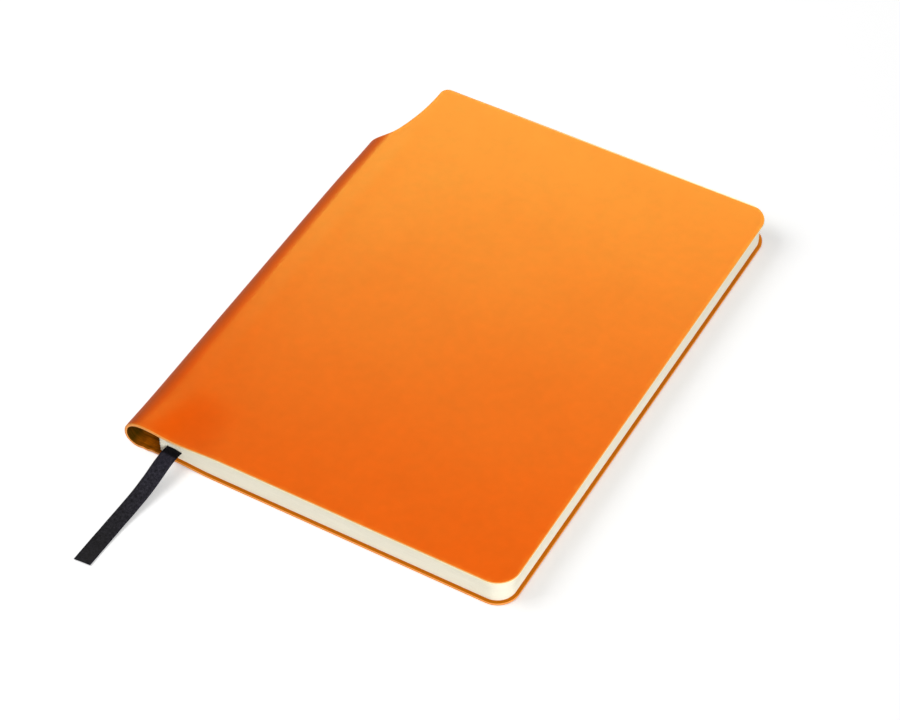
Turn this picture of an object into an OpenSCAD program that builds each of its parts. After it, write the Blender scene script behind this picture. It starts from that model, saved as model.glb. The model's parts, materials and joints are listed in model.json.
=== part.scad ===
// Soft cover notebook that lies closed, with a pen tunnel along its spine.
// One sheet wraps the pages. It stands out past the sewn spine as a loop that
// holds a pen, a notch at the head bares the pen's end, and a ribbon marks the page.
// The book lies on its back cover: X runs from the loop to the fore edge,
// Y from tail to head and Z up, with the origin under the middle of the book.

/* [Pages] */
// Width of the pages, from the folds at the spine to the fore edge
page_w = 141.4; // [100:0.2:200]
// Height of the pages, from tail to head
page_h = 207.2; // [140:0.2:300]
// Thickness of the closed pages
block_t = 9.8; // [8:0.1:20]
// Number of folded sections that are sewn together
sections = 10; // [4:1:16]
// Depth of the furrow between the folds of two sections
furrow = 0.35; // [0.1:0.05:0.5]

/* [Cover] */
// Thickness of the cover sheet
cover_t = 1.1; // [0.6:0.1:1.8]
// How far the cover reaches past the pages at the head, the tail and the fore edge
overhang = 1.4; // [0.6:0.1:4]
// Radius of the cover's two corners at the fore edge
corner_r = 8.7; // [5:0.1:16]
// Thickness of the paper that is pasted inside each cover
endpaper_t = 0.2; // [0.1:0.05:0.4]

/* [Hinge grooves] */
// Width of the strip of the cover that is glued to the first page
front_glue_w = 7.5; // [3:0.1:12]
// Width of the strip of the cover that is glued to the last page
back_glue_w = 4; // [3:0.1:12]
// Depth of the groove that the front cover turns on
front_groove = 1.1; // [0.2:0.1:1.4]
// Depth of the groove that the back cover turns on
back_groove = 1; // [0.2:0.1:1.4]
// Distance over which a cover rises from its groove to its full height
groove_run = 20; // [10:1:30]

/* [Pen tunnel] */
// How far the loop stands out past the spine of the pages
tunnel_w = 14.2; // [13:0.2:24]
// Height of the loop's outermost line above the table
nose_z = 5.4; // [4:0.1:7]
// Distance from the loop's outermost line to its highest line
crest_x = 8.5; // [5:0.1:10]
// Distance from the loop's outermost line to the line that it lies on
keel_x = 6; // [4:0.1:10]

/* [Notch at the head] */
// Length of the notch along the spine
notch_len = 39.8; // [25:0.2:70]
// Length of the notch's straight side next to the head
notch_straight = 4; // [3.6:0.2:8]
// Lean of the notch's long side where it turns towards the loop, in degrees
notch_lean = 17.6; // [10:0.2:30]
// Radius of the turn at the foot of the notch
notch_foot_r = 15.4; // [8:0.2:20]
// Radius of the cover's corner between the notch and the head
notch_corner_r = 3.4; // [1:0.1:3.6]

/* [Spine lining] */
// Thickness of the paper strip glued over the folds
lining_t = 0.3; // [0.2:0.05:0.5]
// How far the strip stops short of the pages at the head and the tail
lining_short = 6; // [2:0.5:20]
// How far the strip stops short of the first page and the last page
lining_margin = 0.5; // [0.2:0.1:1.5]

/* [Ribbon marker] */
// Width of the ribbon
ribbon_w = 6.6; // [4:0.1:8]
// Thickness of the ribbon
ribbon_t = 0.3; // [0.2:0.05:0.4]
// Distance of the ribbon's middle from the spine where it leaves the pages
ribbon_in = 6.7; // [4.5:0.1:20]

/* [Hidden] */

$fn = 96;
air_gap = 0.05; // between a cover's pasted paper and the page that it lies on
seam_gap = 0.05; // between a cover and the tunnel, along the line that the cover turns on
groove_steps = 10;
nose_steps = 12;
notch_steps = 10;
fold_steps = 4;
reach = 20; // how far a cutting shape runs past what it cuts

book_w = tunnel_w + page_w + overhang;
book_h = page_h + 2 * overhang;
pages_from = cover_t + endpaper_t + air_gap; // from the outside of a cover to the pages
book_t = block_t + 2 * pages_from;
fore_x = book_w - overhang;
front_hinge_x = tunnel_w + front_glue_w;
back_hinge_x = tunnel_w + back_glue_w;

// The ribbon's route, measured from where it leaves the pages: it leaves straight,
// sinks to the table under its own weight and lies along it.
ribbon_route = [
    [0, 0, 0], [-0.2, -1.5, 0], [-0.4, -4, -0.15], [-0.6, -7, -0.7], [-0.7, -10, -1.4],
    [-0.8, -13, -2.2], [-0.95, -16, -2.9], [-1.1, -19, -3.5], [-1.3, -22, -4.05], [-1.55, -25, -4.5],
    [-1.8, -28, -4.9], [-2.1, -32, -5.3], [-2.35, -36, -5.6], [-2.5, -40, -5.8], [-2.65, -44, -5.9],
    [-2.75, -48, -5.95], [-2.8, -52, -5.95], [-2.85, -55.5, -5.95]
];

// Smooth valley: 1 in its middle, 0 at a distance of 1 and beyond.
function valley(u) = (1 + cos(180 * min(1, abs(u)))) / 2;

// Outside of the front and of the back at a distance x from the loop's outermost line.
function front_z(x) =
    book_t - front_groove * valley(
        (x - front_hinge_x) / (x < front_hinge_x ? front_hinge_x - crest_x : groove_run)
    );
function back_z(x) =
    back_groove * valley(
        (x - back_hinge_x) / (x < back_hinge_x ? back_hinge_x - keel_x : groove_run)
    );

// Points along the front and the back, from x0 to x1, sunk into the cover by depth.
function between(x0, x1, steps) = [for (i = [0 : steps]) x0 + (x1 - x0) * i / steps];
function along_front(xs, depth) = [for (x = xs) [x, front_z(x) - depth]];
function along_back(xs, depth) = [for (x = xs) [x, back_z(x) + depth]];

function reversed(points) = [for (i = [len(points) - 1 : -1 : 0]) points[i]];

// The loop's end, from its crest round its outermost line to its keel.
function nose(depth) = concat(
    [for (i = [nose_steps : -1 : 1])
        [crest_x - (crest_x - depth) * cos(90 * i / nose_steps),
         nose_z + (book_t - nose_z - depth) * sin(90 * i / nose_steps)]],
    [for (i = [0 : nose_steps])
        [keel_x - (keel_x - depth) * cos(90 * i / nose_steps),
         nose_z - (nose_z - depth) * sin(90 * i / nose_steps)]]
);

// Where a cover lies between its groove and the edge at x1.
function cover_xs(hinge_x, x1) =
    concat(between(hinge_x, hinge_x + groove_run, groove_steps), [x1]);

// Arc of a turn round the centre c, with the radius r, from angle a0 to angle a1.
function arc(c, r, a0, a1, steps) =
    [for (i = [0 : steps]) c + r * [cos(a0 + (a1 - a0) * i / steps), sin(a0 + (a1 - a0) * i / steps)]];

// What is cut away at the head, seen from above. The edge runs from the head round a
// small corner, straight down, along a wide arc that leans towards the loop, and round
// a tighter one to cross the loop square.
notch_x = tunnel_w - overhang;
notch_side_r = (notch_len - notch_straight - notch_foot_r * (1 - sin(notch_lean))) / sin(notch_lean);
notch_bend = [notch_x - notch_side_r, book_h - notch_straight]
    + notch_side_r * [cos(notch_lean), -sin(notch_lean)];
notch_foot = notch_bend + notch_foot_r * [-cos(notch_lean), sin(notch_lean)];
notch_outline = concat(
    [[-reach, book_h + reach], [notch_x + notch_corner_r, book_h + reach]],
    arc([notch_x + notch_corner_r, book_h - notch_corner_r], notch_corner_r, 90, 180, notch_steps),
    arc([notch_x - notch_side_r, book_h - notch_straight], notch_side_r, 0, -notch_lean, notch_steps),
    [for (p = arc(notch_foot, notch_foot_r, -notch_lean, -90, notch_steps)) if (p != notch_bend) p],
    [[-reach - notch_foot_r, notch_foot[1] - notch_foot_r]]
);

// Everything is drawn from the loop's outermost line and the tail, then centred.
module centred() {
    translate([-book_w / 2, -book_h / 2, 0])
        children();
}

// A section of the book, drawn across X and Z, runs from y0 to y1.
module run_along(y0, y1, section) {
    translate([0, y1, 0])
        rotate([90, 0, 0])
            linear_extrude(y1 - y0)
                polygon(section);
}

// Upright block with two round corners at the fore edge.
module rounded_block(x0, x1, y0, y1, r) {
    linear_extrude(book_t + reach) {
        translate([x0, y0])
            square([x1 - r - x0, y1 - y0]);
        translate([x1 - 2 * r, y0 + r])
            square([2 * r, y1 - y0 - 2 * r]);
        for (y = [y0 + r, y1 - r])
            translate([x1 - r, y])
                circle(r);
    }
}

// Half of the cover from its groove to the fore edge.
module cover_panel(section) {
    intersection() {
        run_along(0, book_h, section);
        rounded_block(0, book_w, 0, book_h, corner_r);
    }
}

module front_cover() {
    xs = cover_xs(front_hinge_x + seam_gap / 2, book_w);
    color([0.94, 0.5, 0.12])
        centred() cover_panel(concat(along_front(xs, 0), reversed(along_front(xs, cover_t))));
}

module back_cover() {
    xs = cover_xs(back_hinge_x + seam_gap / 2, book_w);
    color([0.94, 0.5, 0.12])
        centred() cover_panel(concat(along_back(xs, 0), reversed(along_back(xs, cover_t))));
}

// Paper pasted inside a cover, over the area of the pages.
module endpaper_panel(section) {
    intersection() {
        run_along(overhang, book_h - overhang, section);
        rounded_block(0, fore_x, overhang, book_h - overhang, corner_r - overhang);
    }
}

module front_endpaper() {
    xs = cover_xs(front_hinge_x + seam_gap / 2, fore_x);
    color([0.95, 0.92, 0.84])
        centred() endpaper_panel(concat(
            along_front(xs, cover_t), reversed(along_front(xs, cover_t + endpaper_t))
        ));
}

module back_endpaper() {
    xs = cover_xs(back_hinge_x + seam_gap / 2, fore_x);
    color([0.95, 0.92, 0.84])
        centred() endpaper_panel(concat(
            along_back(xs, cover_t), reversed(along_back(xs, cover_t + endpaper_t))
        ));
}

// The middle of the cover sheet: glued to the first page, round the loop, and glued
// to the last page.
module spine_tunnel() {
    front_xs = between(front_hinge_x - seam_gap / 2, crest_x, groove_steps);
    back_xs = between(keel_x, back_hinge_x - seam_gap / 2, groove_steps);
    outside = concat(
        [for (p = along_front(front_xs, 0)) if (p[0] > crest_x) p],
        nose(0),
        [for (p = along_back(back_xs, 0)) if (p[0] > keel_x) p]
    );
    inside = concat(
        [for (p = along_front(front_xs, cover_t)) if (p[0] > crest_x) p],
        nose(cover_t),
        [for (p = along_back(back_xs, cover_t)) if (p[0] > keel_x) p]
    );
    color([0.92, 0.46, 0.1])
        centred() difference() {
            run_along(0, book_h, concat(outside, reversed(inside)));
            translate([0, 0, -reach / 2])
                linear_extrude(book_t + reach)
                    polygon(notch_outline);
        }
}

// Folds of the sewn sections, from the last page up to the first.
folds_z0 = back_z(tunnel_w) + pages_from;
folds_z1 = front_z(tunnel_w) - pages_from;
folds = [
    for (i = [0 : sections - 1], k = [0 : fold_steps - 1])
        [tunnel_w + furrow * (1 - sin(180 * k / fold_steps)),
         folds_z0 + (folds_z1 - folds_z0) * (i + k / fold_steps) / sections]
];

module page_block() {
    front_xs = concat([tunnel_w + furrow], cover_xs(front_hinge_x, fore_x));
    back_xs = concat([tunnel_w + 2 * furrow], cover_xs(back_hinge_x, fore_x));
    color([0.95, 0.92, 0.84])
        centred() intersection() {
            run_along(overhang, book_h - overhang, concat(
                folds, along_front(front_xs, pages_from), reversed(along_back(back_xs, pages_from))
            ));
            rounded_block(0, fore_x, overhang, book_h - overhang, corner_r - overhang);
        }
}

module spine_lining() {
    z0 = folds_z0 + lining_margin;
    y0 = overhang + lining_short;
    color([0.9, 0.88, 0.8])
        centred() translate([tunnel_w - lining_t, y0, z0])
            cube([lining_t, book_h - 2 * y0, folds_z1 - lining_margin - z0]);
}

// The ribbon is swept along its route. Its section is flat, with eight corners.
ribbon_exit = [tunnel_w + ribbon_in, overhang, (folds_z0 + folds_z1) / 2];
ribbon_edge = ribbon_t / 4;
ribbon_section = [
    for (s = [1, -1], p = [
        [ribbon_w / 2, -ribbon_edge], [ribbon_w / 2, ribbon_edge],
        [ribbon_w / 2 - ribbon_edge, ribbon_t / 2], [-ribbon_w / 2 + ribbon_edge, ribbon_t / 2]
    ]) s * p
];

function unit(v) = v / norm(v);
function ribbon_heading(i) = i == 0
    ? [0, -1, 0]
    : unit(ribbon_route[min(i + 1, len(ribbon_route) - 1)] - ribbon_route[i - 1]);

// Corners of the ribbon's section at the route's point i.
function ribbon_ring(i) =
    let (heading = ribbon_heading(i), side = unit(cross(heading, [0, 0, 1])), up = cross(side, heading))
    [for (p = ribbon_section) ribbon_exit + ribbon_route[i] + p[0] * side + p[1] * up];

module ribbon_marker() {
    rings = len(ribbon_route);
    sides = len(ribbon_section);
    points = [for (i = [0 : rings - 1]) each ribbon_ring(i)];
    walls = [
        for (i = [0 : rings - 2], k = [0 : sides - 1])
            let (a = i * sides + k, b = i * sides + (k + 1) % sides)
            each [[a, b, b + sides], [a, b + sides, a + sides]]
    ];
    near_end = [for (k = [sides - 1 : -1 : 0]) k];
    far_end = [for (k = [0 : sides - 1]) (rings - 1) * sides + k];
    color([0.1, 0.1, 0.13])
        centred() polyhedron(points, concat([near_end], walls, [far_end]));
}

front_cover();
back_cover();
spine_tunnel();
page_block();
spine_lining();
front_endpaper();
back_endpaper();
ribbon_marker();
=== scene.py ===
import json
import math
import random

import bmesh
import bpy
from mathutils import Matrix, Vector, noise
from mathutils.kdtree import KDTree


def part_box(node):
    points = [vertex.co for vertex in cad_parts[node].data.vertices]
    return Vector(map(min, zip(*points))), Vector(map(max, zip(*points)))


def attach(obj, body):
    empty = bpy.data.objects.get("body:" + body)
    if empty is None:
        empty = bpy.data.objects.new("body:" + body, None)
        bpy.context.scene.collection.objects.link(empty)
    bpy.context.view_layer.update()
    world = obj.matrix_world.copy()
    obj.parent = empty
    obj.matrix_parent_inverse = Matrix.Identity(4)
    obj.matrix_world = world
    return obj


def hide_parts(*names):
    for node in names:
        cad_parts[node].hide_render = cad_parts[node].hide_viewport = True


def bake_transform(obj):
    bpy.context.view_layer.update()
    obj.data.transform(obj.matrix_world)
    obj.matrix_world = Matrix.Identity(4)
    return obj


# Softcover notebook with a pen tunnel. Everything is in metres: X runs from the loop
# of the tunnel to the fore edge, Y from tail to head and Z up, with the table at 0.

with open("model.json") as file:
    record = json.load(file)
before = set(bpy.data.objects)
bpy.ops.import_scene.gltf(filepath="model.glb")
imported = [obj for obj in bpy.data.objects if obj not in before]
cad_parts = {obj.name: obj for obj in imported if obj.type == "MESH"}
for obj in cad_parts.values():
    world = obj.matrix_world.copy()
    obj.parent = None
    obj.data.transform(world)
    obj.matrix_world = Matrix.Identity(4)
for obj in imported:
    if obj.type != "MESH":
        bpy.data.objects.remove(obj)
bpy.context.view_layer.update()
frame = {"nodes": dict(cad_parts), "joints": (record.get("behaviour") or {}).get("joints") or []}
print("frame loaded:", sorted(frame["nodes"]))


# Where the book's lines lie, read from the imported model
loopLow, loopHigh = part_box("spine_tunnel")
coverLow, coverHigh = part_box("front_cover")
pagesLow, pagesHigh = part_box("page_block")
liningLow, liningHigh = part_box("spine_lining")
hinges = {joint["name"]: Vector(joint["pos_m"]) for joint in frame["joints"]}

book = {
    "nose": loopLow.x,  # the loop's outermost line
    "fore": coverHigh.x,
    "tail": loopLow.y,
    "head": coverHigh.y,
    "top": loopHigh.z,
    "spine": pagesLow.x,  # folds of the sewn sections
    "frontHinge": hinges["front_hinge"].x,
    "backHinge": hinges["back_hinge"].x,
    "overhang": coverHigh.x - pagesHigh.x,
}


# Camera

view = {
    "azimuth": 29.59,
    "elevation": 47.51,
    "distance": 1.0445,
    "target": (0.00352, -0.01256, 0),
    "lens": 112.84,  # millimetres
    "sensorWidth": 36,
    "seesUntil": 20,
}


def directionFrom(azimuth, elevation):
    a = math.radians(azimuth)
    e = math.radians(elevation)
    return Vector((math.sin(a) * math.cos(e), -math.cos(a) * math.cos(e), math.sin(e)))


def addCamera():
    lens = bpy.data.cameras.new("camera")
    lens.lens = view["lens"]
    lens.sensor_width = view["sensorWidth"]
    lens.clip_end = view["seesUntil"]
    camera = bpy.data.objects.new("camera", lens)
    bpy.context.scene.collection.objects.link(camera)
    away = directionFrom(view["azimuth"], view["elevation"])
    camera.location = Vector(view["target"]) + away * view["distance"]
    camera.rotation_euler = away.to_track_quat("Z", "Y").to_euler()
    bpy.context.scene.camera = camera


addCamera()
print("camera set")


# Tools for drawing and shaping in edit mode

def deselectAll():
    if bpy.context.mode != "OBJECT":
        bpy.ops.object.mode_set(mode="OBJECT")
    bpy.ops.object.select_all(action="DESELECT")


def pickOnly(piece):
    deselectAll()
    piece.select_set(True)
    bpy.context.view_layer.objects.active = piece


def enterEdit(piece, mode="VERT"):
    pickOnly(piece)
    bpy.ops.object.mode_set(mode="EDIT")
    bpy.ops.mesh.select_mode(type=mode)


def leaveEdit():
    bpy.ops.object.mode_set(mode="OBJECT")


def selectFaces(piece, wanted):
    shape = bmesh.from_edit_mesh(piece.data)
    for face in shape.faces:
        face.select_set(wanted(face))
    shape.select_flush_mode()
    bmesh.update_edit_mesh(piece.data)


def selectEdges(piece, wanted):
    shape = bmesh.from_edit_mesh(piece.data)
    for edge in shape.edges:
        edge.select_set(wanted(edge))
    shape.select_flush_mode()
    bmesh.update_edit_mesh(piece.data)


def outwardNormals():
    bpy.ops.mesh.select_all(action="SELECT")
    bpy.ops.mesh.normals_make_consistent(inside=False)


# An outline starts as one point, which is carried along lines and round arcs
def drawOutline(name, start, moves):
    deselectAll()
    bpy.ops.mesh.primitive_plane_add(size=0.001, location=(*start, 0))
    piece = bpy.context.object
    piece.name = name
    piece.data.name = name
    bpy.ops.object.transform_apply(location=True, rotation=True, scale=True)
    enterEdit(piece)
    bpy.ops.mesh.select_all(action="SELECT")
    bpy.ops.mesh.merge(type="CENTER")
    for kind, x, y, turn, count in moves:
        if kind == "arc":
            bpy.ops.mesh.spin(steps=count, angle=-math.radians(turn), center=(x, y, 0), axis=(0, 0, 1))
            continue
        shape = bmesh.from_edit_mesh(piece.data)
        here = next(v.co.copy() for v in shape.verts if v.select)
        move = (x - here.x, y - here.y, 0)
        bpy.ops.mesh.extrude_region_move(TRANSFORM_OT_translate={"value": move})
    bpy.ops.mesh.select_all(action="SELECT")
    bpy.ops.mesh.remove_doubles(threshold=0.000001)
    bpy.ops.mesh.edge_face_add()
    outwardNormals()
    leaveEdit()
    return piece


def line(x, y):
    return ("line", x, y, 0, 0)


def arc(x, y, turn, count):
    return ("arc", x, y, turn, count)


def mirrorLeft(piece):
    pickOnly(piece)
    mirror = piece.modifiers.new("Mirror", "MIRROR")
    mirror.use_axis = (True, False, False)
    mirror.merge_threshold = 0.00001
    bpy.ops.object.modifier_apply(modifier=mirror.name)


# Gives a flat outline its thickness, from z = 0 down
def thicken(piece, thickness):
    enterEdit(piece, "FACE")
    bpy.ops.mesh.select_all(action="SELECT")
    bpy.ops.mesh.extrude_region_move(TRANSFORM_OT_translate={"value": (0, 0, -thickness)})
    outwardNormals()
    leaveEdit()


# A rim edge is sharp and lies level
def isRimEdge(edge):
    a, b = edge.verts
    return abs(edge.calc_face_angle(0)) > 1.2 and abs(a.co.z - b.co.z) < 0.00001


def roundRim(piece, width, segments):
    enterEdit(piece, "EDGE")
    selectEdges(piece, isRimEdge)
    bpy.ops.mesh.bevel(offset=width, segments=segments, profile=0.5, clamp_overlap=False)
    leaveEdit()


# Rings of faces along the rim keep the shading of the flat faces even
def ringRim(piece, widths):
    enterEdit(piece, "FACE")
    for width in widths:
        selectFaces(piece, lambda face: abs(face.normal.z) > 0.99 and len(face.verts) > 8)
        bpy.ops.mesh.inset(thickness=width, use_boundary=True)
    leaveEdit()


def evenSteps(low, high, size):
    count = max(1, round((high - low) / size))
    return [low + (high - low) * i / count for i in range(count + 1)]


def cutAcross(piece, places, axis, mergeWithin=0.00003):
    enterEdit(piece)
    normal = [0, 0, 0]
    normal[axis] = 1
    for place in places:
        point = [0, 0, 0]
        point[axis] = place
        bpy.ops.mesh.select_all(action="SELECT")
        bpy.ops.mesh.bisect(plane_co=point, plane_no=normal, threshold=0.000001)
    bpy.ops.mesh.select_all(action="SELECT")
    bpy.ops.mesh.remove_doubles(threshold=mergeWithin)
    leaveEdit()


def copyPiece(piece, name):
    twin = piece.copy()
    twin.data = piece.data.copy()
    twin.name = name
    twin.data.name = name
    bpy.context.scene.collection.objects.link(twin)
    return twin


def smoothShade(piece, angle):
    pickOnly(piece)
    bpy.ops.object.shade_smooth_by_angle(angle=math.radians(angle))


# Keeps each point's place on the flat piece, which the materials read after it is folded
def keepFlatPlace(piece):
    flat = piece.data.attributes.new("flat", "FLOAT_VECTOR", "POINT")
    for vertex in piece.data.vertices:
        flat.data[vertex.index].vector = vertex.co


# Keeps each point's distance from the rim, up to a limit
def keepRimDistance(piece, limit=0.02):
    points = []
    onRim = piece.data.attributes["rimPoint"].data
    for rimEdge in piece.data.edges:
        if all(onRim[i].value > 0.5 for i in rimEdge.vertices):
            a, b = (piece.data.vertices[i].co for i in rimEdge.vertices)
            count = max(1, int((a - b).length / 0.0004))
            points += [a.lerp(b, i / count) for i in range(count + 1)]
    tree = KDTree(len(points))
    for i, point in enumerate(points):
        tree.insert((point.x, point.y, 0), i)
    tree.balance()
    rim = piece.data.attributes.new("rim", "FLOAT", "POINT")
    for vertex in piece.data.vertices:
        rim.data[vertex.index].value = min(limit, tree.find((vertex.co.x, vertex.co.y, 0))[2])


def smooth(u):
    u = max(0.0, min(1.0, u))
    return u * u * (3 - 2 * u)


def valley(u):
    return (1 + math.cos(math.pi * min(1, abs(u)))) / 2


# How the cover lies round the pages

cover = {
    "sheet": 0.0011,  # thickness of the cover sheet
    "pagesFrom": 0.00135,  # from the outside of a cover to the pages
    "grooveRun": 0.02,
    "frontGroove": book["top"] - hinges["front_hinge"].z,
    "backGroove": hinges["back_hinge"].z,
    "grooveFade": 0.93,  # how much shallower the front groove is away from the tail
    "fadeFrom": -0.107,
    "fadeTo": -0.079,
    "crest": 0.0085,  # from the outermost line to the loop's highest line
    "keel": 0.006,  # and to the line that it lies on
    "noseHeight": 0.0054,
    "shoulder": 2.3,  # 2 is an ellipse, more is squarer
    "crestMore": 0.0026,  # how much further in the highest line lies behind the mouth
    "crestSettle": 0.018,
    "crestLess": 0.72,  # the share of that which is lost again towards the head
    "crestLessOver": 0.15,
    "crestWander": 0.0005,
    "wanderPerMetre": 55,
    "crestDrop": 0.0003,  # how much the loop sinks towards the notch
    "dropUntil": 0.002,  # past the spine
    "dropRun": 0.008,
    "wave": 0.0001,
    "waveSize": 0.045,
    "waveGrowsOver": 0.03,
}

loop = {
    "noseIn": 0.0005,  # how much the loop draws in towards the notch
    "noseInFrom": 0.035,
    "noseInTo": 0.066,
    "crinkle": 0.0005,  # crinkles of the lower lip at the tunnel's mouth
    "crinkleDepth": 0.006,
    "crinkleFrom": 0.0045,
    "crinkleTo": 0.0135,
}


def headward(y):
    return smooth((y - cover["fadeFrom"]) / (cover["fadeTo"] - cover["fadeFrom"]))


# From the outermost line to the loop's highest line, which wanders a little
def crestAt(y):
    fromTail = y - book["tail"]
    more = cover["crestMore"] * (1 - cover["crestLess"] * smooth(fromTail / cover["crestLessOver"]))
    more += cover["crestWander"] * noise.noise(Vector((0, y * cover["wanderPerMetre"], 5)))
    return cover["crest"] + more * smooth(fromTail / cover["crestSettle"])


# Outside of the front cover, with its groove, and of the back cover
def frontHeight(x, y):
    past = x - book["frontHinge"]
    reach = cover["grooveRun"] if past > 0 else book["frontHinge"] - book["nose"] - crestAt(y)
    groove = cover["frontGroove"] * (1 - cover["grooveFade"] * headward(y))
    nearLoop = smooth((book["spine"] + cover["dropUntil"] - x) / cover["dropRun"])
    sink = cover["crestDrop"] * headward(y) * nearLoop
    place = Vector((x, y, 0)) / cover["waveSize"]
    wave = cover["wave"] * noise.noise(place) * smooth((x - book["spine"]) / cover["waveGrowsOver"])
    return book["top"] - groove * valley(past / reach) - sink + wave


def backHeight(x, y):
    past = x - book["backHinge"]
    reach = cover["grooveRun"] if past > 0 else book["backHinge"] - book["nose"] - cover["keel"]
    return cover["backGroove"] * valley(past / reach)


# A point of the cover sheet as it was cut flat: across is 0 on the loop's outermost
# line, more on the front and less on the back, and depth is how far it lies inside the
# sheet. This is where it comes to when the sheet is folded round the pages.
def foldedPoint(across, y, depth):
    front = across >= 0
    side = 1 if front else -1
    run = abs(across)
    bend = crestAt(y) if front else cover["keel"]
    nearNotch = smooth((y - loop["noseInFrom"]) / (loop["noseInTo"] - loop["noseInFrom"]))
    x = book["nose"] + run + loop["noseIn"] * nearNotch * max(0, 1 - run / bend)
    if run < bend:
        power = cover["shoulder"] if front else 2
        rise = cover["noseHeight"]
        if front:
            rise = frontHeight(book["nose"] + bend, y) - rise
        u = 1 - run / bend
        w = (1 - u ** power) ** (1 / power)
        z = cover["noseHeight"] + side * rise * w
        normal = Vector((-(u ** (power - 1)) / bend, 0, side * w ** (power - 1) / rise)).normalized()
    else:
        height = frontHeight if front else backHeight
        step = 0.0001
        slope = (height(x + step, y) - height(x - step, y)) / (2 * step)
        z = height(x, y)
        normal = Vector((-slope, 0, 1)).normalized() * side
    return Vector((x, y, z)) - normal * depth


# Ribbon marker, a free cord that leaves the pages at the tail

ribbon = {
    "width": 0.0066,
    "thickness": 0.0003,
    "fromSpine": 0.0067,
    "route": [
        (0, 0, 0), (-0.2, -1.5, 0), (-0.4, -4, -0.15), (-0.6, -7, -0.7), (-0.7, -10, -1.4),
        (-0.8, -13, -2.2), (-0.95, -16, -2.9), (-1.1, -19, -3.5), (-1.3, -22, -4.05),
        (-1.55, -25, -4.5), (-1.8, -28, -4.9), (-2.1, -32, -5.3), (-2.35, -36, -5.6),
        (-2.5, -40, -5.8), (-2.65, -44, -5.9), (-2.75, -48, -5.95), (-2.8, -52, -5.95),
        (-2.85, -55.5, -5.95),
    ],  # millimetres from where it leaves the pages
    "rowLength": 0.0008,
    "slant": 0.0008,  # how much longer its left edge is at the cut end
    "slantWithin": 0.006,  # of the cut end
    "crown": 0.00012,
    "flatUntil": 0.004,  # where the crown and the ripple have grown to their full height
    "ripple": 0.00006,
    "ripplesAcross": 220,
    "ripplesAlong": 190,
}


# Height of the lowest and the highest fold at the spine
def spineFolds():
    lowReach = book["backHinge"] - book["nose"] - cover["keel"]
    highReach = book["frontHinge"] - book["nose"] - cover["crest"]
    low = cover["backGroove"] * valley((book["spine"] - book["backHinge"]) / lowReach)
    high = cover["frontGroove"] * valley((book["spine"] - book["frontHinge"]) / highReach)
    return low + cover["pagesFrom"], book["top"] - high - cover["pagesFrom"]


# A point on the smooth curve through the route's points
def onRoute(points, distance):
    gone = 0
    last = len(points) - 2
    for i in range(last + 1):
        span = (points[i + 1] - points[i]).length
        if distance > gone + span and i < last:
            gone += span
            continue
        u = min(1, (distance - gone) / span)
        a = (points[i + 1] - points[max(0, i - 1)]) * 0.5
        b = (points[min(last + 1, i + 2)] - points[i]) * 0.5
        return (
            points[i] * (2 * u ** 3 - 3 * u ** 2 + 1) + a * (u ** 3 - 2 * u ** 2 + u)
            + points[i + 1] * (3 * u ** 2 - 2 * u ** 3) + b * (u ** 3 - u ** 2)
        )


foldsLow, foldsHigh = spineFolds()
ribbonExit = Vector((book["spine"] + ribbon["fromSpine"], pagesLow.y, (foldsLow + foldsHigh) / 2))
ribbonRoute = [ribbonExit + Vector(p) / 1000 for p in ribbon["route"]]
ribbonLength = sum((b - a).length for a, b in zip(ribbonRoute, ribbonRoute[1:]))


def makeRibbon():
    half = ribbon["width"] / 2
    thickness = ribbon["thickness"]
    piece = drawOutline("ribbon_marker_satin", (-half, 0), [
        line(half, 0), line(half, ribbonLength), line(-half, ribbonLength), line(-half, 0),
    ])
    thicken(piece, thickness)
    roundRim(piece, thickness * 0.3, 1)
    cutAcross(piece, evenSteps(0, ribbonLength, ribbon["rowLength"]), 1)
    cutAcross(piece, evenSteps(-half, half, half / 4), 0)
    keepFlatPlace(piece)
    step = 0.0004
    for vertex in piece.data.vertices:
        across, along, z = vertex.co
        nearEnd = smooth((along - ribbonLength + ribbon["slantWithin"]) / ribbon["slantWithin"])
        along -= ribbon["slant"] * nearEnd * (across / ribbon["width"] + 0.5)
        ripplePlace = Vector((across * ribbon["ripplesAcross"], along * ribbon["ripplesAlong"], 3))
        here = onRoute(ribbonRoute, along)
        ahead = onRoute(ribbonRoute, min(ribbonLength, along + step))
        behind = onRoute(ribbonRoute, max(0, along - step))
        heading = (ahead - behind).normalized()
        side = heading.cross(Vector((0, 0, 1))).normalized()
        crown = ribbon["crown"] * (1 - (across / half) ** 2)
        ripple = ribbon["ripple"] * noise.noise(ripplePlace)
        height = z + thickness / 2 + (crown + ripple) * smooth(along / ribbon["flatUntil"])
        vertex.co = here - side * across + side.cross(heading) * height
    enterEdit(piece)
    outwardNormals()
    leaveEdit()
    smoothShade(piece, 50)
    return piece


ribbonPiece = makeRibbon()
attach(ribbonPiece, "block")
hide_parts("ribbon_marker")
print("ribbon laid, %.1f mm long" % (ribbonLength * 1000))


# Cover: one sheet, cut flat with round corners and a notch, then folded round the pages

coverSheet = {
    "cornerRadius": 0.0087,
    "notchLength": 0.0398,
    "notchStraight": 0.004,
    "notchLean": 17.6,  # degrees
    "notchFootRadius": 0.0154,
    "notchCornerRadius": 0.0034,
    "edgeRounding": 0.0002,
    "rings": [0.0004, 0.0012],
    "seam": -0.011,  # where the front and the back half meet, under the loop
    "rowSize": 0.0035,
    "rowsAtTail": (0.0019, 0.0028, 0.0039, 0.0052),  # closer rows for the crinkles
}


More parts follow.
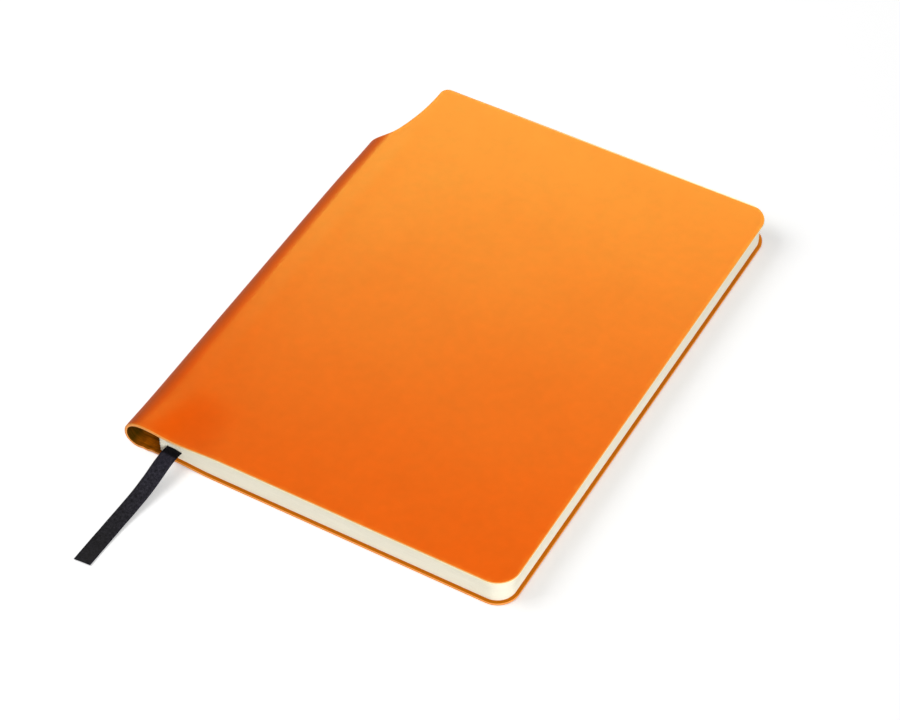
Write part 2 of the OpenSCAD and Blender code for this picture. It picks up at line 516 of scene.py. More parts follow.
def notchMoves(side):
    head = book["head"]
    lean = math.radians(coverSheet["notchLean"])
    foot = coverSheet["notchFootRadius"]
    straight = coverSheet["notchStraight"]
    wide = (coverSheet["notchLength"] - straight - foot * (1 - math.sin(lean))) / math.sin(lean)
    footX = side - wide + (wide - foot) * math.cos(lean)
    footY = head - straight - (wide - foot) * math.sin(lean)
    footEnd = math.degrees(math.acos(-footX / foot))
    return [
        line(side, head - straight),
        arc(side - wide, head - straight, -coverSheet["notchLean"], 12),
        arc(footX, footY, coverSheet["notchLean"] - footEnd, 12),
    ]


def cutSheet():
    width = book["fore"] - book["nose"]
    corner = coverSheet["cornerRadius"]
    small = coverSheet["notchCornerRadius"]
    tail = book["tail"]
    head = book["head"]
    side = book["spine"] - book["nose"] - book["overhang"]
    piece = drawOutline("coverSheet", (0, tail), [
        line(width - corner, tail),
        arc(width - corner, tail + corner, 90, 16),
        line(width, head - corner),
        arc(width - corner, head - corner, 90, 16),
        line(side + small, head),
        arc(side + small, head - small, 90, 10),
        *notchMoves(side),
    ])
    mirrorLeft(piece)
    thicken(piece, cover["sheet"])
    roundRim(piece, coverSheet["edgeRounding"], 2)
    ringRim(piece, coverSheet["rings"])
    return piece


def markRim(piece):
    rimPoint = piece.data.attributes.new("rimPoint", "FLOAT", "POINT")
    for polygon in piece.data.polygons:
        if abs(polygon.normal.z) < 0.1:
            for i in polygon.vertices:
                rimPoint.data[i].value = 1
    slots = [1 if abs(polygon.normal.z) < 0.5 else 0 for polygon in piece.data.polygons]
    piece.data.polygons.foreach_set("material_index", slots)


# Columns of one half of the sheet, closest where it folds and where it bends at the hinge
def halfColumns(hinge, bend, turn, size):
    hinge -= book["nose"]
    grooveEnd = hinge + cover["grooveRun"]
    columns = evenSteps(hinge - 0.0008, hinge + 0.006, 0.0004)
    columns += [bend * (1 - math.cos(math.radians(a))) for a in range(10, 91, turn)]
    columns += evenSteps(bend + size, hinge - 0.0008 - size, size)
    columns += evenSteps(hinge + 0.007, grooveEnd, 0.0012)
    columns += evenSteps(grooveEnd + 0.005, book["fore"] - book["nose"] - 0.011, 0.006)
    return columns


def sheetColumns():
    front = halfColumns(book["frontHinge"], cover["crest"], 5, 0.001)
    back = halfColumns(book["backHinge"], cover["keel"], 6, 0.0006)
    return front + [-x for x in back]


# Height of the crinkles in the lower lip at the tunnel's mouth
def crinkle(across, y):
    u = (-across - loop["crinkleFrom"]) / (loop["crinkleTo"] - loop["crinkleFrom"])
    if u <= 0 or u >= 1:
        return 0
    fromTail = y - book["tail"]
    folds = 0.55 + 0.45 * math.cos(2 * math.pi * (1.9 * u - 0.55) + 60 * fromTail)
    fade = math.exp(-fromTail / loop["crinkleDepth"])
    return loop["crinkle"] * fade * folds * math.sin(math.pi * u)


def halfOfSheet(sheet, name, keepFront):
    piece = copyPiece(sheet, name)
    enterEdit(piece, "FACE")
    bpy.ops.mesh.select_all(action="SELECT")
    bpy.ops.mesh.bisect(
        plane_co=(coverSheet["seam"], 0, 0), plane_no=(1, 0, 0), use_fill=True,
        clear_inner=keepFront, clear_outer=not keepFront, threshold=0.000001,
    )
    outwardNormals()
    leaveEdit()
    keepFlatPlace(piece)
    for vertex in piece.data.vertices:
        across, y, z = vertex.co
        vertex.co = foldedPoint(across, y, -z)
        vertex.co.z += crinkle(across, y)
    smoothShade(piece, 38)
    return piece


wholeSheet = cutSheet()
markRim(wholeSheet)
cutAcross(wholeSheet, sheetColumns(), 0)
tailRows = [book["tail"] + distance for distance in coverSheet["rowsAtTail"]]
otherRows = evenSteps(book["tail"] + 0.007, book["head"] - 0.003, coverSheet["rowSize"])
cutAcross(wholeSheet, tailRows + otherRows, 1)
keepRimDistance(wholeSheet)
frontSkin = halfOfSheet(wholeSheet, "cover_front_and_tunnel", True)
backSkin = halfOfSheet(wholeSheet, "cover_back", False)
bpy.data.objects.remove(wholeSheet)
print("cover folded:", len(frontSkin.data.polygons), "and", len(backSkin.data.polygons), "faces")


# Papers pasted inside the covers, over the area of the pages

papers = {
    "thickness": 0.00019,
    "depth": 0.00111,  # where it starts inside the cover's outside
    "fromSpine": 0.0012,
}


# Outline of the pages from the given x to the fore edge, with its two round corners
def pageOutline(name, low, high):
    radius = coverSheet["cornerRadius"] - book["overhang"]
    tail = book["tail"] + book["overhang"]
    head = book["head"] - book["overhang"]
    return drawOutline(name, (low, tail), [
        line(high - radius, tail),
        arc(high - radius, tail + radius, 90, 14),
        line(high, head - radius),
        arc(high - radius, head - radius, 90, 14),
        line(low, head),
        line(low, tail),
    ])


def makePaper(name, front):
    low = book["spine"] - book["nose"] + papers["fromSpine"]
    high = book["fore"] - book["nose"] - book["overhang"]
    piece = pageOutline(name, low, high)
    thicken(piece, papers["thickness"])
    columns = [abs(x) for x in sheetColumns() if (x if front else -x) > low]
    cutAcross(piece, [x for x in columns if x < high - 0.001], 0)
    cutAcross(piece, evenSteps(book["tail"] + 0.01, book["head"] - 0.01, 0.0095), 1)
    keepFlatPlace(piece)
    for vertex in piece.data.vertices:
        across, y, z = vertex.co
        vertex.co = foldedPoint(across if front else -across, y, papers["depth"] - z)
    enterEdit(piece)
    outwardNormals()
    leaveEdit()
    smoothShade(piece, 38)
    return piece


frontPaper = makePaper("paper_inside_front", True)
backPaper = makePaper("paper_inside_back", False)
print("papers pasted in")


# Pages: one block whose edges show the leaves and whose spine shows the folded sections

pages = {
    "sections": 10,
    "leavesPerSection": 10,
    "furrow": 0.0009,
    "foldSpread": 0.00018,  # how unevenly the folds lie
    "raggedness": 0.00004,
    "curlsPerMetre": 40,
    "stack": 0.01,  # thickness before it is fitted between the covers
    "seed": 4,
}


# Outward direction at a point of the pages' outline, or nothing inside it
def edgeDirection(x, y):
    radius = coverSheet["cornerRadius"] - book["overhang"]
    fore = book["fore"] - book["overhang"]
    head = book["head"] - book["overhang"]
    tiny = 0.00002
    if x > fore - radius and abs(y) > head - radius:
        outward = Vector((x - fore + radius, y - math.copysign(head - radius, y), 0))
        return outward.normalized() if outward.length > radius - tiny else None
    if x > fore - tiny:
        return Vector((1, 0, 0))
    if abs(y) > head - tiny:
        return Vector((0, math.copysign(1, y), 0))
    return None


def makePages():
    high = book["fore"] - book["overhang"]
    piece = pageOutline("pages", book["spine"], high)
    thickness = pages["stack"]
    thicken(piece, thickness)
    leaves = pages["sections"] * pages["leavesPerSection"]
    scale = pages["curlsPerMetre"]
    columns = evenSteps(book["spine"] + 0.001, book["spine"] + 0.03, 0.0016)
    columns += evenSteps(book["spine"] + 0.035, high - 0.009, 0.009)
    cutAcross(piece, columns, 0)
    cutAcross(piece, evenSteps(book["tail"] + 0.0105, book["head"] - 0.0105, 0.009), 1)
    cutAcross(piece, [-thickness * i / leaves for i in range(1, leaves)], 2, 0.00001)
    keepFlatPlace(piece)
    random.seed(pages["seed"])
    standOut = [random.uniform(-1, 1) * pages["raggedness"] for i in range(leaves + 1)]
    foldIn = [random.uniform(0, 1) * pages["foldSpread"] for i in range(pages["sections"] + 1)]
    for vertex in piece.data.vertices:
        x, y, z = vertex.co
        level = 1 + z / thickness
        low = backHeight(x, y) + cover["pagesFrom"]
        top = frontHeight(x, y) - cover["pagesFrom"]
        outward = edgeDirection(x, y)
        if outward:
            row = round(level * leaves)
            curl = noise.noise(Vector((x * scale, y * scale, row * 0.7)))
            vertex.co += outward * (standOut[row] * (1 + curl) * (1 if row % 2 else -0.5))
        if x < book["spine"] + 0.00001:
            section = int(level * pages["sections"] + 0.0001)
            wave = (1 + math.cos(2 * math.pi * level * pages["sections"])) / 2
            vertex.co.x += pages["furrow"] * wave + foldIn[section] * (1 - wave)
        vertex.co.z = low + (top - low) * level
    smoothShade(piece, 20)
    return piece


pageBlock = makePages()
print("pages stacked:", len(pageBlock.data.polygons), "faces")


# Strip of paper glued over the folds, inside the tunnel

lining = {
    "thickness": 0.00028,
    "columns": 40,
    "rowSize": 0.004,
    "sag": 0.25,  # how far it sinks into the furrows between the sections
    "gap": 0.00001,
}


def makeLining():
    height = liningHigh.z - liningLow.z
    tail = liningLow.y
    head = liningHigh.y
    piece = drawOutline("lining_strip", (0, tail), [
        line(height, tail), line(height, head), line(0, head), line(0, tail),
    ])
    thicken(piece, lining["thickness"])
    cutAcross(piece, evenSteps(0, height, height / lining["columns"]), 0, 0.00001)
    cutAcross(piece, evenSteps(tail, head, lining["rowSize"]), 1, 0.00001)
    keepFlatPlace(piece)
    for vertex in piece.data.vertices:
        up, y, z = vertex.co
        level = (liningLow.z + up - foldsLow) / (foldsHigh - foldsLow)
        turn = (level * pages["sections"]) % 1
        sag = lining["sag"] * pages["furrow"] * (1 - math.sin(math.pi * turn))
        x = book["spine"] - lining["gap"] - lining["thickness"] + sag - z
        vertex.co = (x, y, liningLow.z + up)
    enterEdit(piece)
    outwardNormals()
    leaveEdit()
    smoothShade(piece, 40)
    return piece


liningStrip = makeLining()
print("lining glued on")


# Materials

def newMaterial(name):
    material = bpy.data.materials.new(name)
    material.use_nodes = True
    return material, material.node_tree, material.node_tree.nodes["Principled BSDF"]


def addNode(tree, kind, inputs=None, **settings):
    node = tree.nodes.new(kind)
    for key, value in settings.items():
        setattr(node, key, value)
    for key, value in (inputs or {}).items():
        node.inputs[key].default_value = value
    return node


def link(tree, source, target):
    tree.links.new(source, target)


def combine(tree, operation, a, b):
    node = addNode(tree, "ShaderNodeMath", operation=operation)
    link(tree, a, node.inputs[0])
    link(tree, b, node.inputs[1])
    return node.outputs[0]


def combineVectors(tree, operation, a, b):
    node = addNode(tree, "ShaderNodeVectorMath", operation=operation)
    link(tree, a, node.inputs[0])
    link(tree, b, node.inputs[1])
    return node.outputs[0]


def scaleColor(tree, color, factor):
    node = addNode(tree, "ShaderNodeVectorMath", operation="SCALE")
    link(tree, color, node.inputs[0])
    link(tree, factor, node.inputs["Scale"])
    return node.outputs[0]


# 1 where the value is at its middle, and more or less than 1 around it
def aroundOne(tree, value, middle, strength):
    centred = addNode(tree, "ShaderNodeMath", {1: middle}, operation="SUBTRACT")
    link(tree, value, centred.inputs[0])
    tone = addNode(tree, "ShaderNodeMath", {2: 1.0}, operation="MULTIPLY_ADD")
    link(tree, centred.outputs[0], tone.inputs[0])
    link(tree, strength, tone.inputs[1])
    return tone.outputs[0]


def noiseAt(tree, place, scale, detail=2.0, roughness=0.5):
    node = addNode(tree, "ShaderNodeTexNoise", {
        "Scale": scale, "Detail": detail, "Roughness": roughness,
    })
    link(tree, place, node.inputs["Vector"])
    return node.outputs["Fac"]


def cellsAt(tree, place, scale):
    node = addNode(tree, "ShaderNodeTexVoronoi", {"Scale": scale, "Randomness": 1.0})
    link(tree, place, node.inputs["Vector"])
    return node.outputs["Distance"]


def newGroup(name, inputs, outputs):
    group = bpy.data.node_groups.new(name, "ShaderNodeTree")
    for way, sockets in (("INPUT", inputs), ("OUTPUT", outputs)):
        for title, kind in sockets.items():
            group.interface.new_socket(name=title, in_out=way, socket_type="NodeSocket" + kind)
    given = addNode(group, "NodeGroupInput")
    result = addNode(group, "NodeGroupOutput")
    return group, given.outputs, result.inputs


# Slow, cloudy change of tone over a surface, about 1 on average
def buildCloudyTone():
    group, given, result = newGroup(
        "cloudyTone", {"Place": "Vector", "Cloud Size": "Float", "Strength": "Float"},
        {"Tone": "Float"},
    )
    place = combineVectors(group, "DIVIDE", given["Place"], given["Cloud Size"])
    both = combine(group, "ADD", noiseAt(group, place, 1.0), noiseAt(group, place, 3.7))
    link(group, aroundOne(group, both, 1.0, given["Strength"]), result["Tone"])
    return group


# Fibres of paper: a fine fleck in the colour and a soft tooth in the surface
def buildPaperFibre():
    group, given, result = newGroup(
        "paperFibre", {"Place": "Vector", "Color": "Color", "Fleck Strength": "Float"},
        {"Color": "Color", "Height": "Float"},
    )
    fleck = noiseAt(group, given["Place"], 2600.0, 3.0, 0.65)
    tone = aroundOne(group, fleck, 0.5, given["Fleck Strength"])
    link(group, scaleColor(group, given["Color"], tone), result["Color"])
    link(group, noiseAt(group, given["Place"], 6000.0), result["Height"])
    return group


# Fine streaks: noise stretched along the directions whose number is small
def buildFineStreaks():
    group, given, result = newGroup(
        "fineStreaks", {"Place": "Vector", "Streaks Per Metre": "Vector"}, {"Value": "Float"},
    )
    place = combineVectors(group, "MULTIPLY", given["Place"], given["Streaks Per Metre"])
    link(group, noiseAt(group, place, 1.0, 2.0, 0.6), result["Value"])
    return group


cloudyTone = buildCloudyTone()
paperFibre = buildPaperFibre()
fineStreaks = buildFineStreaks()


def useGroup(tree, group, place, inputs):
    node = addNode(tree, "ShaderNodeGroup", inputs, node_tree=group)
    link(tree, place, node.inputs["Place"])
    return node


def flatPlace(tree):
    return addNode(tree, "ShaderNodeAttribute", attribute_name="flat").outputs["Vector"]


def splitPlace(tree, place):
    parts = addNode(tree, "ShaderNodeSeparateXYZ")
    link(tree, place, parts.inputs[0])
    return parts.outputs["X"], parts.outputs["Y"], parts.outputs["Z"]


def spread(tree, value, low, high, newLow=0.0, newHigh=1.0):
    node = addNode(tree, "ShaderNodeMapRange", {1: low, 2: high, 3: newLow, 4: newHigh})
    link(tree, value, node.inputs["Value"])
    return node.outputs["Result"]


def mixColor(tree, factor, a, b):
    node = addNode(tree, "ShaderNodeMix", data_type="RGBA")
    link(tree, factor, node.inputs["Factor"])
    for side, socket in ((a, node.inputs["A"]), (b, node.inputs["B"])):
        if isinstance(side, tuple):
            socket.default_value = (*side, 1)
        else:
            link(tree, side, socket)
    return node.outputs["Result"]


def mixValue(tree, factor, a, b):
    node = addNode(tree, "ShaderNodeMix", {"A": a})
    link(tree, factor, node.inputs["Factor"])
    link(tree, b, node.inputs["B"])
    return node.outputs["Result"]


def bumpFrom(tree, height, distance):
    bump = addNode(tree, "ShaderNodeBump", {"Strength": 1.0, "Distance": distance})
    link(tree, height, bump.inputs["Height"])
    return bump.outputs["Normal"]


# Imitation leather: an orange skin outside, a browner one inside the tunnel, with painted shade round
# the loop and over its upper inside, and painted highlights along the edges and the head

coverFinish = {
    "outside": (0.8, 0.075, 0.0),
    "paintedNoseShade": (0.6, 0.062, 0.0),  # painted shade, darker round the loop
    "noseFades": (0.0035, 0.0075),  # between these distances from its outermost line
    "inside": (0.5, 0.115, 0.002),
    "insideDepth": (-0.0009, -0.0006),
    "paintedShadeInLoop": (0.07, 0.014, 0.001),
    "loopStarts": (-0.0075, -0.002),  # where the painted shade inside the loop begins, as places across the sheet
    "loopEnds": (0.016, 0.02),
    "insideStreaks": (160, 1200, 0),
    "streakTones": (0.5, 1.25),
    "streakedFrom": (-0.0165, -0.0145),  # the streaks end where the loop meets the back cover
    "rubbed": (0.88, 0.19, 0.015),  # a band along the cut edges
    "rubbedWidth": 0.0016,
    "rubbedPatches": 260.0,  # in a metre
    "rubbedFades": (-0.0009, 0.0012),
    "rubbedMost": 0.6,
    "wearAndPaintedLight": (0.98, 0.45, 0.1),  # right on the edge: lighter wear with a painted highlight on the rounded rim
    "wearAndPaintedLightWidth": 0.0004,
    "wearAndPaintedLightMost": 0.85,
    "speck": (0.95, 0.62, 0.3),
    "specks": 420.0,  # in a metre
    "speckedWithin": 0.005,  # of the rim
    "speckSizes": (0.075, -0.05),  # at the rim and further in, where less than 0 is none
    "speckMost": 0.8,
    "paintedHeadHighlight": (1.0, 0.92, 0.8),  # painted highlight: a pale line along the head's rounded edge
    "paintedHeadHighlightFrom": (0.0008, 0.0005),  # from the head's edge
    "paintedHeadHighlightGrows": (0.03, 0.13, 0.1, 0.9),  # from and to across the sheet, and how strong
    "cloudSize": 0.016,
    "clouds": 0.12,
    "hazeSize": 0.009,  # of the patches in the sheen
    "smoothest": 0.28,  # the roughness wanders between these two
    "roughest": 0.34,
    "noseRoughness": 0.55,
    "insideRoughness": 0.7,
    "sheen": 0.5,
    "sheenColor": (0.7, 1.0, 0.0),
    "grainSize": 0.00035,
    "grainDepth": 0.000006,
}


def makeCoverSkin():
    material, tree, shader = newMaterial("orangeImitationLeather")
    place = flatPlace(tree)
    across, along, height = splitPlace(tree, place)
    rim = addNode(tree, "ShaderNodeAttribute", attribute_name="rim").outputs["Fac"]

    # Painted shade over the upper inside of the loop, from loopStarts to loopEnds
    loopShadeMask = spread(tree, across, *coverFinish["loopStarts"])
    inside = mixColor(tree, loopShadeMask, coverFinish["inside"], coverFinish["paintedShadeInLoop"])
    pastLoop = spread(tree, across, *coverFinish["loopEnds"])
    inside = mixColor(tree, pastLoop, inside, coverFinish["inside"])
    streaks = useGroup(tree, fineStreaks, place, {"Streaks Per Metre": coverFinish["insideStreaks"]})
    streakTone = spread(tree, streaks.outputs["Value"], 0.35, 0.65, *coverFinish["streakTones"])
    streaked = spread(tree, across, *coverFinish["streakedFrom"])
    inside = mixColor(tree, streaked, inside, scaleColor(tree, inside, streakTone))

    # Painted shade round the loop's nose, where the sheet turns away from the light
    fromNose = addNode(tree, "ShaderNodeMath", operation="ABSOLUTE")
    link(tree, across, fromNose.inputs[0])
    pastNose = spread(tree, fromNose.outputs[0], *coverFinish["noseFades"])
    outside = mixColor(tree, pastNose, coverFinish["paintedNoseShade"], coverFinish["outside"])

    wear = noiseAt(tree, place, coverFinish["rubbedPatches"])
    rubbedTo = spread(tree, wear, 0.2, 0.8, 0.0, coverFinish["rubbedWidth"])
    rubbed = combine(tree, "SUBTRACT", rubbedTo, rim)
    rubbedMask = spread(tree, rubbed, *coverFinish["rubbedFades"], 0.0, coverFinish["rubbedMost"])
    outside = mixColor(tree, rubbedMask, outside, coverFinish["rubbed"])
    # A lighter line right on the edge, partly wear and partly a painted highlight
    width = coverFinish["wearAndPaintedLightWidth"]
    wearAndPaintedLightMask = spread(tree, rim, width, width / 3, 0.0, coverFinish["wearAndPaintedLightMost"])
    outside = mixColor(tree, wearAndPaintedLightMask, outside, coverFinish["wearAndPaintedLight"])

    nearRim = spread(tree, rim, 0.0, coverFinish["speckedWithin"], *coverFinish["speckSizes"])
    speck = combine(tree, "SUBTRACT", nearRim, cellsAt(tree, place, coverFinish["specks"]))
    speckMask = spread(tree, speck, 0.0, 0.05, 0.0, coverFinish["speckMost"])
    outside = mixColor(tree, speckMask, outside, coverFinish["speck"])

    # Painted highlight: a pale line along the head
    headHighlightMask = spread(tree, along, *(book["head"] - inward for inward in coverFinish["paintedHeadHighlightFrom"]))
    headHighlightMask = combine(tree, "MULTIPLY", headHighlightMask, spread(tree, across, *coverFinish["paintedHeadHighlightGrows"]))
    outside = mixColor(tree, headHighlightMask, outside, coverFinish["paintedHeadHighlight"])

    depth = spread(tree, height, *coverFinish["insideDepth"])
    skin = mixColor(tree, depth, inside, outside)
    clouds = useGroup(tree, cloudyTone, place, {
        "Cloud Size": coverFinish["cloudSize"], "Strength": coverFinish["clouds"],
    })
    link(tree, scaleColor(tree, skin, clouds.outputs["Tone"]), shader.inputs["Base Color"])

    haze = useGroup(tree, cloudyTone, place, {"Cloud Size": coverFinish["hazeSize"], "Strength": 0.5})
    rough = spread(
        tree, haze.outputs["Tone"], 0.6, 1.4, coverFinish["smoothest"], coverFinish["roughest"],
    )
    rough = mixValue(tree, pastNose, coverFinish["noseRoughness"], rough)
    rough = mixValue(tree, depth, coverFinish["insideRoughness"], rough)
    link(tree, rough, shader.inputs["Roughness"])
    shader.inputs["Specular IOR Level"].default_value = coverFinish["sheen"]
    shader.inputs["Specular Tint"].default_value = (*coverFinish["sheenColor"], 1)

    pebbles = cellsAt(tree, place, 1 / coverFinish["grainSize"])
    link(tree, bumpFrom(tree, pebbles, coverFinish["grainDepth"]), shader.inputs["Normal"])
    return material


# The cut edge shows the paler core between the two skins, in painted glare on the front and in painted
# shade under the loop and on the back

cutEdgeFinish = {
    "skin": (0.68, 0.2, 0.02),
    "skinInPaintedShade": (0.42, 0.1, 0.008),
    "skinTurns": (-0.012, -0.002),  # across the sheet, from the painted shade under the loop to its top
    "coreWithPaintedLight": (1.0, 0.9, 0.56),  # front cover, painted pale as if in glare
    "coreInPaintedShade": (0.93, 0.35, 0.07),  # loop and back cover, in painted shade
    "coreTurns": (0.014, 0.03),
    "coreFrom": (0.08, 0.32),  # of the sheet's thickness, from the outside
    "edgeHeadHighlightFrom": (0.0006, 0.0002),  # from the head's edge
    "cloudSize": 0.0018,
    "clouds": 0.25,
    "roughness": 0.6,
    "fuzzSize": 0.0002,
    "fuzzDepth": 0.00003,
}


def makeCutEdge():
    material, tree, shader = newMaterial("cutCoverEdge")
    place = flatPlace(tree)
    across, along, height = splitPlace(tree, place)
    # Painted shade on the edge's skin under the loop and along the back cover
    onTop = spread(tree, across, *cutEdgeFinish["skinTurns"])
    skin = mixColor(tree, onTop, cutEdgeFinish["skinInPaintedShade"], cutEdgeFinish["skin"])
    # One core in two painted copies: lit on the front cover, shaded on the loop and the back
    onFront = spread(tree, across, *cutEdgeFinish["coreTurns"])
    coreWithPaintedLight = mixColor(tree, onFront, cutEdgeFinish["coreInPaintedShade"], cutEdgeFinish["coreWithPaintedLight"])
    coreMask = spread(tree, height, *(-cover["sheet"] * share for share in cutEdgeFinish["coreFrom"]))
    layers = mixColor(tree, coreMask, skin, coreWithPaintedLight)
    # Painted highlight: the pale core colour over the whole rim along the head
    headHighlightMask = spread(tree, along, *(book["head"] - inward for inward in cutEdgeFinish["edgeHeadHighlightFrom"]))
    layers = mixColor(tree, headHighlightMask, layers, cutEdgeFinish["coreWithPaintedLight"])
    clouds = useGroup(tree, cloudyTone, place, {
        "Cloud Size": cutEdgeFinish["cloudSize"], "Strength": cutEdgeFinish["clouds"],
    })
    link(tree, scaleColor(tree, layers, clouds.outputs["Tone"]), shader.inputs["Base Color"])
    shader.inputs["Roughness"].default_value = cutEdgeFinish["roughness"]
    fuzz = noiseAt(tree, place, 1 / cutEdgeFinish["fuzzSize"])
    link(tree, bumpFrom(tree, fuzz, cutEdgeFinish["fuzzDepth"]), shader.inputs["Normal"])
    return material


# Cream paper: edges of the leaves with their fine lines, and the pasted papers

paperFinish = {
    "cream": (0.91, 0.87, 0.72),
    "lining": (0.86, 0.8, 0.66),
    "leafLines": 0.09,
    "leafStreaks": (60, 60, 9000),
    "leafDepth": 0.00004,
    "leafFleck": 0.05,
    "pastedFleck": 0.06,
    "toothDepth": 0.00002,
    "cloudSize": 0.02,
    "clouds": 0.04,
    "roughness": 0.85,
    "sheen": 0.3,
}


# What both kinds of paper have in common
def startPaper(name, color, fleck):
    material, tree, shader = newMaterial(name)
    place = flatPlace(tree)
    fibre = useGroup(tree, paperFibre, place, {"Color": (*color, 1), "Fleck Strength": fleck})
    shader.inputs["Roughness"].default_value = paperFinish["roughness"]
    shader.inputs["Specular IOR Level"].default_value = paperFinish["sheen"]
    return material, tree, shader, place, fibre


def makePageEdges():
    material, tree, shader, place, fibre = startPaper(
        "creamPageEdges", paperFinish["cream"], paperFinish["leafFleck"],
    )
    streaks = useGroup(tree, fineStreaks, place, {"Streaks Per Metre": paperFinish["leafStreaks"]})
    tone = spread(tree, streaks.outputs["Value"], 0.25, 0.75, 1 - paperFinish["leafLines"], 1.0)
    color = scaleColor(tree, fibre.outputs["Color"], tone)
    link(tree, color, shader.inputs["Base Color"])
    bump = bumpFrom(tree, streaks.outputs["Value"], paperFinish["leafDepth"])
    link(tree, bump, shader.inputs["Normal"])
    return material


def makePastedPaper(name, color):
    material, tree, shader, place, fibre = startPaper(name, color, paperFinish["pastedFleck"])
    clouds = useGroup(tree, cloudyTone, place, {
        "Cloud Size": paperFinish["cloudSize"], "Strength": paperFinish["clouds"],
    })
    color = scaleColor(tree, fibre.outputs["Color"], clouds.outputs["Tone"])
    link(tree, color, shader.inputs["Base Color"])
    bump = bumpFrom(tree, fibre.outputs["Height"], paperFinish["toothDepth"])
    link(tree, bump, shader.inputs["Normal"])
    return material


# Black satin: fine floats along the ribbon, with glints painted into its colour in patches, painted
# shade where it leaves the pages and painted glints that fade along it

ribbonFinish = {
    "black": (0.003, 0.003, 0.005),
    # painted glint, mixed into the black
    "glint": (0.056, 0.053, 0.076),
    "floats": (4500, 1100, 1),  # threads across and their length along
    "floatDepth": 0.00004,
    "patchSize": 0.0013,
    "glintsBetween": (0.12, 0.42),
    "paintedShadeUntil": (0.0032, 0.004),  # painted shade, blacker where it comes out of the pages under the cover
    "paintedGlintFades": (0.006, 0.045, 1.0, 0.4),  # painted glints: from and to along it, and how much it glints there
    "smoothest": 0.34,
    "roughest": 0.5,
    "sheen": 0.09,
}


def makeSatin():
    material, tree, shader = newMaterial("blackSatinRibbon")
    place = flatPlace(tree)
    along = splitPlace(tree, place)[1]
    floats = useGroup(tree, fineStreaks, place, {"Streaks Per Metre": ribbonFinish["floats"]})
    patches = noiseAt(tree, place, 1 / ribbonFinish["patchSize"], 4.0, 0.7)
    both = combine(tree, "MULTIPLY", floats.outputs["Value"], patches)
    shiny = spread(tree, both, *ribbonFinish["glintsBetween"])
    # Painted shade where it leaves the pages and painted glints that fade along it; this is painted
    # light only, not wear
    paintedExitShade = spread(tree, along, *ribbonFinish["paintedShadeUntil"])
    wearAndPaintedLight = combine(tree, "MULTIPLY", paintedExitShade, spread(tree, along, *ribbonFinish["paintedGlintFades"]))
    glint = combine(tree, "MULTIPLY", shiny, wearAndPaintedLight)
    satin = mixColor(tree, glint, ribbonFinish["black"], ribbonFinish["glint"])
    link(tree, satin, shader.inputs["Base Color"])
    rough = spread(tree, patches, 0.3, 0.7, ribbonFinish["smoothest"], ribbonFinish["roughest"])
    link(tree, rough, shader.inputs["Roughness"])
    bump = bumpFrom(tree, floats.outputs["Value"], ribbonFinish["floatDepth"])
    link(tree, bump, shader.inputs["Normal"])
    shader.inputs["Specular IOR Level"].default_value = ribbonFinish["sheen"]
    return material


coverSkin = makeCoverSkin()
cutEdge = makeCutEdge()
pageEdges = makePageEdges()
creamPaper = makePastedPaper("creamPastedPaper", paperFinish["cream"])
liningPaper = makePastedPaper("liningPaper", paperFinish["lining"])
for piece in (frontSkin, backSkin):
    piece.data.materials.append(coverSkin)
    piece.data.materials.append(cutEdge)
for piece in (frontPaper, backPaper):
    piece.data.materials.append(creamPaper)
pageBlock.data.materials.append(pageEdges)
pageBlock.data.materials.append(creamPaper)
for polygon in pageBlock.data.polygons:
    polygon.material_index = 1 if abs(polygon.normal.z) > 0.9 else 0
liningStrip.data.materials.append(liningPaper)
ribbonPiece.data.materials.append(makeSatin())
print("materials made")


# Which imported parts these pieces stand in for, which are hidden; the cover pieces and papers are
# baked in place, and the pages and lining are attached to the block


def blendAtHinge(piece):
    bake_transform(piece)


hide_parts("front_cover", "spine_tunnel")
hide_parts("back_cover")
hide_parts("front_endpaper")
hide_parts("back_endpaper")
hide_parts("page_block")
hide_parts("spine_lining")
blendAtHinge(frontSkin)
blendAtHinge(frontPaper)
blendAtHinge(backSkin)
blendAtHinge(backPaper)
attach(pageBlock, "block")
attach(liningStrip, "block")


# Table and light

studio = {
    "tableSize": 6,
    "tableColor": (0.9, 0.9, 0.9),
    "tableRoughness": 0.9,
    "tableGlow": 0.47,  # what the camera sees on top of the light that falls on it
    "roomLight": 0.29,
    # azimuth, elevation, distance, width, height, power and colour of each lamp
    "lamps": {
        "backWindow": (200, 38, 1.1, 0.8, 0.26, 6.6, (1, 0.96, 0.55)),
        "rightWindow": (48, 33, 1.4, 0.9, 0.7, 17.0, (1, 1, 1)),
        "leftWindow": (-62, 49, 1.6, 1.1, 1.1, 14.0, (1, 1, 1)),
    },
    "onlyOnBook": ("backWindow", "rightWindow"),
    "onlyOnTable": ("leftWindow",),  # lays the book's shadow
}


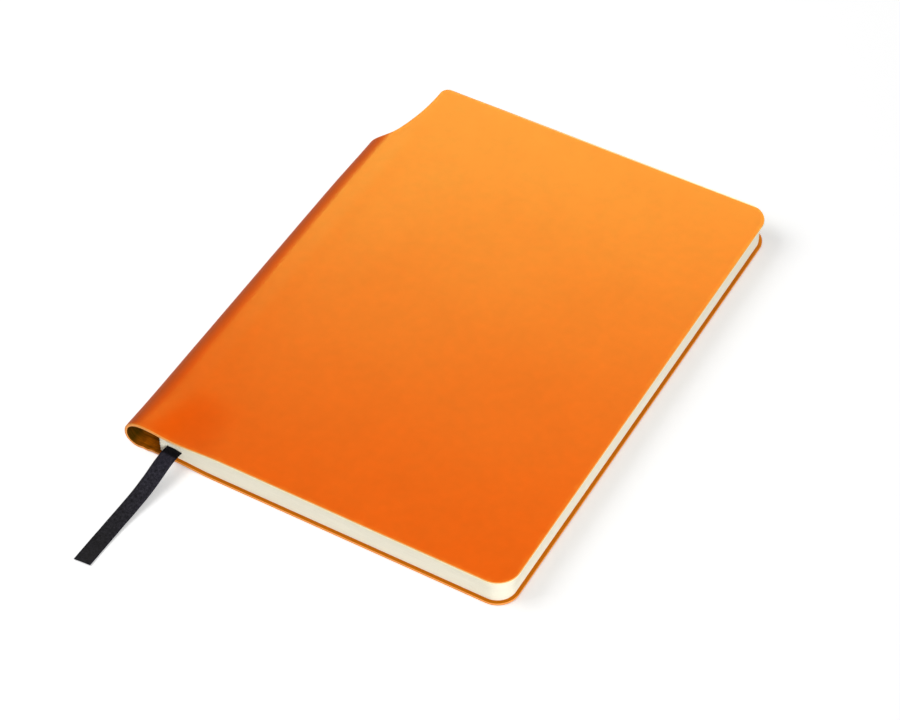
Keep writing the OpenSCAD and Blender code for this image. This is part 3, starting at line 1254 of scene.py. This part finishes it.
def addTable():
    deselectAll()
    bpy.ops.mesh.primitive_plane_add(size=studio["tableSize"], location=(0, 0, 0))
    table = bpy.context.object
    table.name = "table"
    material, tree, shader = newMaterial("whiteTable")
    shader.inputs["Base Color"].default_value = (*studio["tableColor"], 1)
    shader.inputs["Roughness"].default_value = studio["tableRoughness"]
    shader.inputs["Specular IOR Level"].default_value = 0
    shader.inputs["Emission Color"].default_value = (1, 1, 1, 1)
    rays = addNode(tree, "ShaderNodeLightPath").outputs  # it glows only for these three kinds
    seen = combine(tree, "ADD", rays["Is Camera Ray"], rays["Is Glossy Ray"])
    seen = combine(tree, "ADD", seen, rays["Is Transmission Ray"])
    glow = addNode(tree, "ShaderNodeMath", {1: studio["tableGlow"]}, operation="MULTIPLY")
    link(tree, seen, glow.inputs[0])
    link(tree, glow.outputs[0], shader.inputs["Emission Strength"])
    clear = addNode(tree, "ShaderNodeBsdfTransparent")  # clear when it is seen from below
    fromBelow = addNode(tree, "ShaderNodeNewGeometry")
    seenThrough = addNode(tree, "ShaderNodeMixShader")
    link(tree, fromBelow.outputs["Backfacing"], seenThrough.inputs["Fac"])
    link(tree, shader.outputs["BSDF"], seenThrough.inputs[1])
    link(tree, clear.outputs["BSDF"], seenThrough.inputs[2])
    link(tree, seenThrough.outputs["Shader"], tree.nodes["Material Output"].inputs["Surface"])
    table.data.materials.append(material)
    return table


def addRoomLight():
    world = bpy.data.worlds.new("studio")
    bpy.context.scene.world = world
    world.use_nodes = True
    room = world.node_tree.nodes["Background"]
    room.inputs["Color"].default_value = (1, 1, 1, 1)
    room.inputs["Strength"].default_value = studio["roomLight"]


def addLamps():
    for name, (azimuth, elevation, distance, width, height, power, color) in studio["lamps"].items():
        lamp = bpy.data.lights.new(name, "AREA")
        lamp.shape = "RECTANGLE"
        lamp.size = width
        lamp.size_y = height
        lamp.energy = power
        lamp.color = color
        holder = bpy.data.objects.new(name, lamp)
        bpy.context.scene.collection.objects.link(holder)
        away = directionFrom(azimuth, elevation)
        holder.location = away * distance
        holder.rotation_euler = away.to_track_quat("Z", "Y").to_euler()
        if name in studio["onlyOnBook"]:
            holder.light_linking.receiver_collection = bookGroup
        if name in studio["onlyOnTable"]:
            holder.light_linking.receiver_collection = tableGroup


def gather(name, pieces):
    group = bpy.data.collections.new(name)
    for piece in pieces:
        group.objects.link(piece)
    return group


table = addTable()
tableGroup = gather("tableAlone", [table])
bookGroup = gather("bookPieces", [
    frontSkin, backSkin, frontPaper, backPaper, pageBlock, liningStrip, ribbonPiece,
])
addRoomLight()
addLamps()
bpy.context.scene.view_settings.view_transform = "Standard"
print("table and light set")
